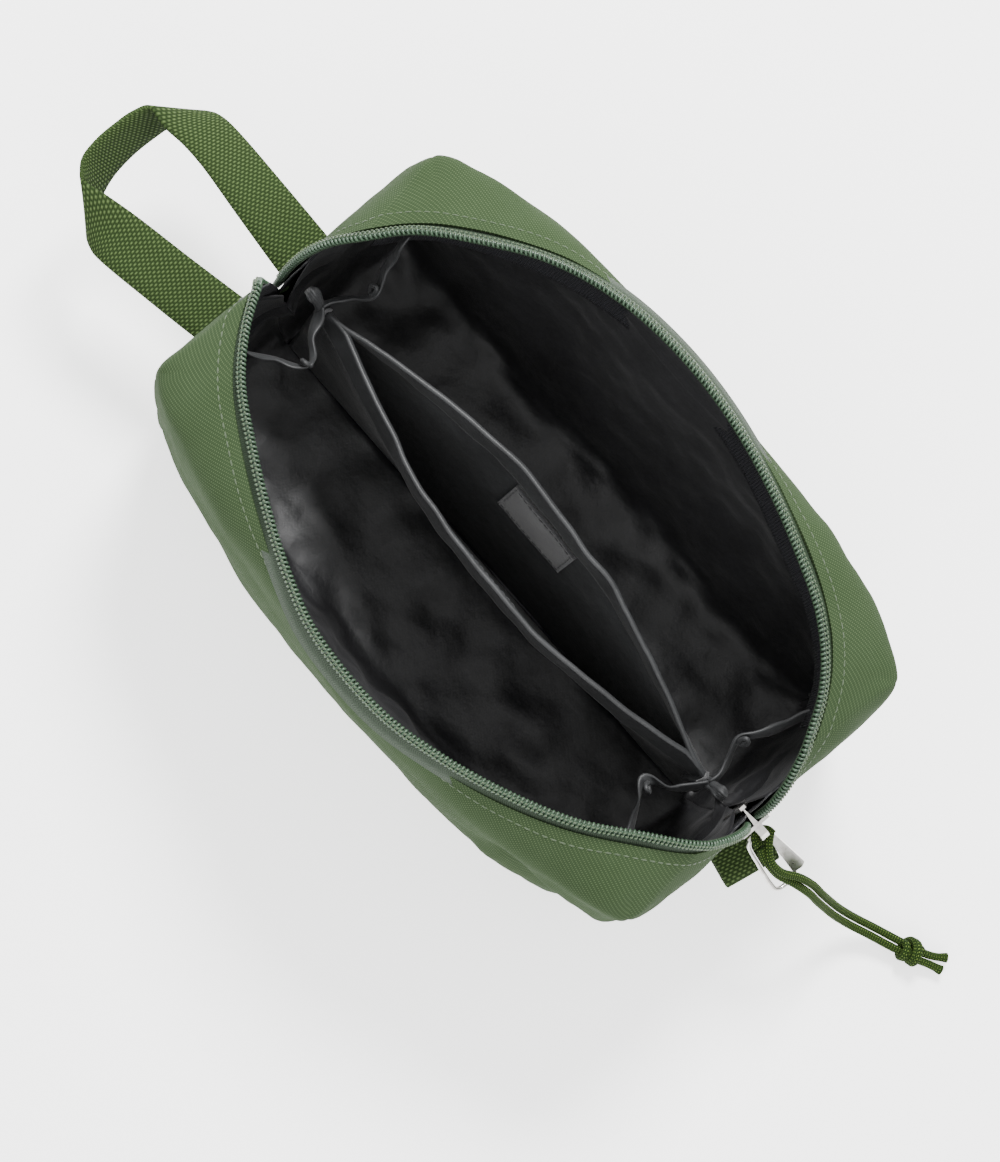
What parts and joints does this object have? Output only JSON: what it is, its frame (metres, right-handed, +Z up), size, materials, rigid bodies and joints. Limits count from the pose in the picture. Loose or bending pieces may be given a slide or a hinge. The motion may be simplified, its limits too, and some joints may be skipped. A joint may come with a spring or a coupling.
{
  "type": "cable organizer pouch",
  "caption": "Boxed-corner fabric pouch standing open, with a zip round its mouth, a corded pull, webbing end handle and a divider pocket inside.",
  "frame": {"origin": "on the table under the middle of the base", "axes": "+X along the pouch from the handle end to the slider end, +Y across it, +Z up"},
  "size_m": [0.3967, 0.148, 0.1105],
  "materials": {
    "woven_fabric": "matt plain weave",
    "zip_coil": "satin nylon",
    "lining": "satin",
    "divider_fabric": "satin plain weave",
    "webbing": "matt ribbed",
    "cord": "matt braid",
    "nickel": "bright nickel plate"
  },
  "bodies": {
    "pouch": {"bottom_panel": "woven_fabric", "side_panel_left": "woven_fabric", "side_panel_right": "woven_fabric", "lining": "lining", "end_binding_handle_end": "lining", "end_binding_slider_end": "lining", "corner_binding_handle_left": "lining", "corner_binding_handle_right": "lining", "corner_binding_slider_left": "lining", "corner_binding_slider_right": "lining", "zip_end_stop": "nickel"},
    "mouth_left": {"zip_tape_left": "zip_coil", "zip_coil_left": "zip_coil", "zip_facing_left": "lining"},
    "mouth_right": {"zip_tape_right": "zip_coil", "zip_coil_right": "zip_coil", "zip_facing_right": "lining"},
    "slider": {"slider_body": "nickel", "pull_cord_bight": "cord"},
    "pull": {"pull_ring": "nickel", "pull_cord_upper": "cord", "pull_cord_lower": "cord", "cord_knot": "cord", "cord_end_a": "cord", "cord_end_b": "cord"},
    "handle": {"handle_webbing": "webbing"},
    "end_tab": {"end_tab": "webbing"},
    "divider_left": {"divider_leaf_left": "divider_fabric", "hook_patch": "lining"},
    "divider_right": {"divider_leaf_right": "divider_fabric", "loop_patch": "lining"}
  },
  "joints": [
    {"name": "slider_travel", "type": "slide", "parent": "pouch", "child": "slider", "axis": [0, 0, 1], "range_m": [0, 0.033]},
    {"name": "mouth_right_close", "type": "hinge", "parent": "pouch", "child": "mouth_right", "pos_m": [0, 0.035, 0.045], "axis": [1, 0, 0], "range_deg": [0, 22], "deforming": ["zip_tape_right", "zip_coil_right", "zip_facing_right"]},
    {"name": "mouth_left_close", "type": "hinge", "parent": "pouch", "child": "mouth_left", "pos_m": [0, -0.035, 0.045], "axis": [-1, 0, 0], "range_deg": [0, 22], "deforming": ["zip_tape_left", "zip_coil_left", "zip_facing_left"]},
    {"name": "pull_swing", "type": "hinge", "parent": "slider", "child": "pull", "pos_m": [0.1197, 0, 0.0576], "axis": [0, -1, 0], "range_deg": [0, 110], "deforming": ["pull_cord_bight", "pull_cord_upper", "pull_cord_lower"]},
    {"name": "handle_fold", "type": "hinge", "parent": "pouch", "child": "handle", "pos_m": [-0.1148, 0, 0.046], "axis": [0, 1, 0], "range_deg": [-20, 80]},
    {"name": "end_tab_flex", "type": "hinge", "parent": "pouch", "child": "end_tab", "pos_m": [0.1148, -0.004, 0.046], "axis": [0, 1, 0], "range_deg": [0, 20]},
    {"name": "divider_left_sway", "type": "hinge", "parent": "pouch", "child": "divider_left", "pos_m": [0, -0.001, 0.0075], "axis": [-1, 0, 0], "range_deg": [-8, 11.3], "deforming": ["divider_leaf_left"]},
    {"name": "divider_right_sway", "type": "hinge", "parent": "pouch", "child": "divider_right", "pos_m": [0, 0.001, 0.0075], "axis": [1, 0, 0], "range_deg": [-8, 8.5], "deforming": ["divider_leaf_right"]}
  ],
  "couplings": [
    {"joint": "mouth_right_close", "follows": "slider_travel", "rad_per_m": 11.6},
    {"joint": "mouth_left_close", "follows": "slider_travel", "rad_per_m": 11.6}
  ]
}
